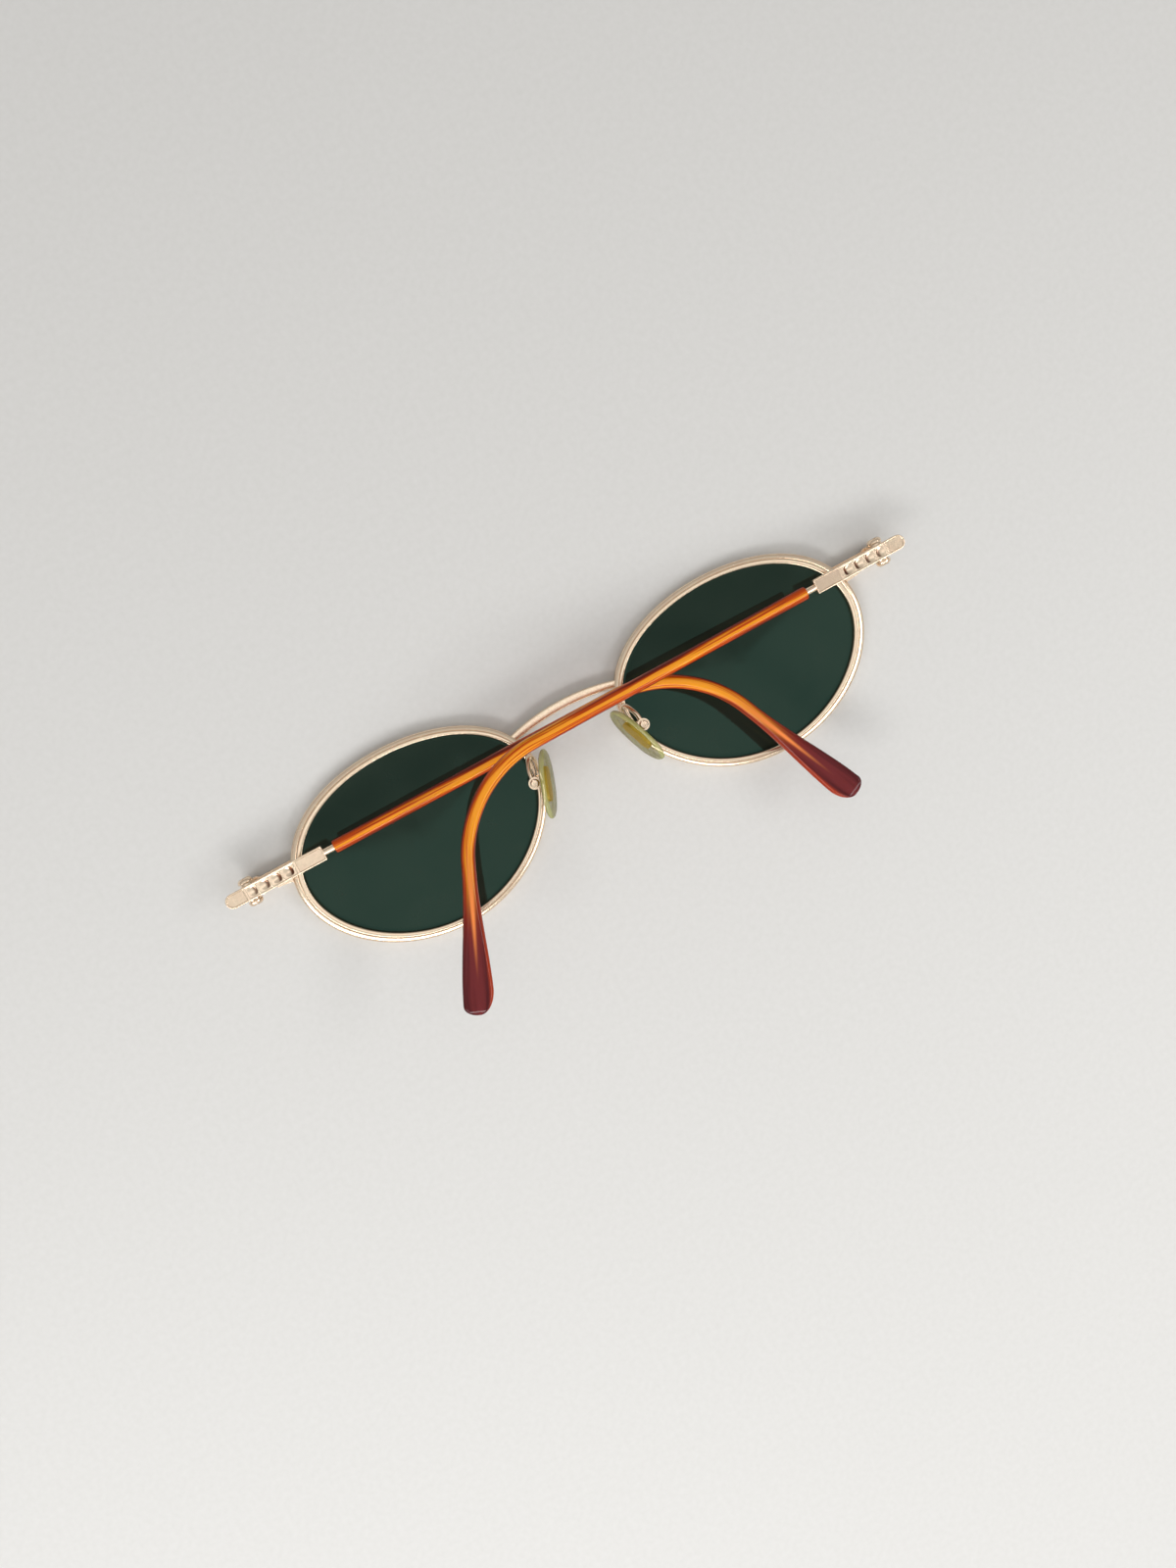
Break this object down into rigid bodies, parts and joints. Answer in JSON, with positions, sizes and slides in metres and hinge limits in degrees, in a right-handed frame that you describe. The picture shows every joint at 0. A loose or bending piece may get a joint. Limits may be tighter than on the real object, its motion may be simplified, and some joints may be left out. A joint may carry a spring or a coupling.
{
  "type": "wire-rim sunglasses",
  "caption": "Folding wire-rim sunglasses with oval tinted lenses, an arched bridge, rocking nose pads and sleeved temples that fold over the front.",
  "frame": {"origin": "middle of the underside, on the plane that the fronts of the rims rest on, with the temples folded", "axes": "+X from the wearer's left hinge to the right hinge, +Y from the cheeks to the brow, +Z from the front of the glasses to the wearer"},
  "size_m": [0.146, 0.0506, 0.0213],
  "materials": {
    "gold": "polished gold plate",
    "lens": "dark green tinted lens",
    "sleeve": "polished amber acetate that darkens to burgundy at the tip",
    "pad": "clear yellowed plastic"
  },
  "bodies": {
    "front": {"bridge": "gold", "right_rim": "gold", "left_rim": "gold", "right_lens": "lens", "left_lens": "lens", "right_end_piece": "gold", "left_end_piece": "gold", "right_closing_block": "gold", "left_closing_block": "gold", "right_closing_screw": "gold", "left_closing_screw": "gold", "right_hinge_fork": "gold", "left_hinge_fork": "gold", "right_hinge_screw": "gold", "left_hinge_screw": "gold", "right_hinge_nut": "gold", "left_hinge_nut": "gold", "right_pad_arm": "gold", "left_pad_arm": "gold", "right_pad_box": "gold", "left_pad_box": "gold", "right_pad_screw": "gold", "left_pad_screw": "gold"},
    "right_temple": {"right_temple_plate": "gold", "right_temple_knuckle": "gold", "right_temple_core": "gold", "right_temple_sleeve": "sleeve"},
    "left_temple": {"left_temple_plate": "gold", "left_temple_knuckle": "gold", "left_temple_core": "gold", "left_temple_sleeve": "sleeve"},
    "right_pad": {"right_nose_pad": "pad", "right_pad_insert": "gold"},
    "left_pad": {"left_nose_pad": "pad", "left_pad_insert": "gold"}
  },
  "joints": [
    {"name": "right_temple_hinge", "type": "hinge", "parent": "front", "child": "right_temple", "pos_m": [0.06818, 0.01315, 0.0046], "axis": [0, 1, 0], "range_deg": [0, 85]},
    {"name": "left_temple_hinge", "type": "hinge", "parent": "front", "child": "left_temple", "pos_m": [-0.06842, 0.01315, 0.0046], "axis": [0, -1, 0], "range_deg": [0, 90]},
    {"name": "right_pad_rock", "type": "hinge", "parent": "front", "child": "right_pad", "pos_m": [0.01163, 0.0057, 0.0063], "axis": [0, 0, 1], "range_deg": [-8, 8]},
    {"name": "left_pad_rock", "type": "hinge", "parent": "front", "child": "left_pad", "pos_m": [-0.01187, 0.0057, 0.0063], "axis": [0, 0, -1], "range_deg": [-8, 8]}
  ]
}
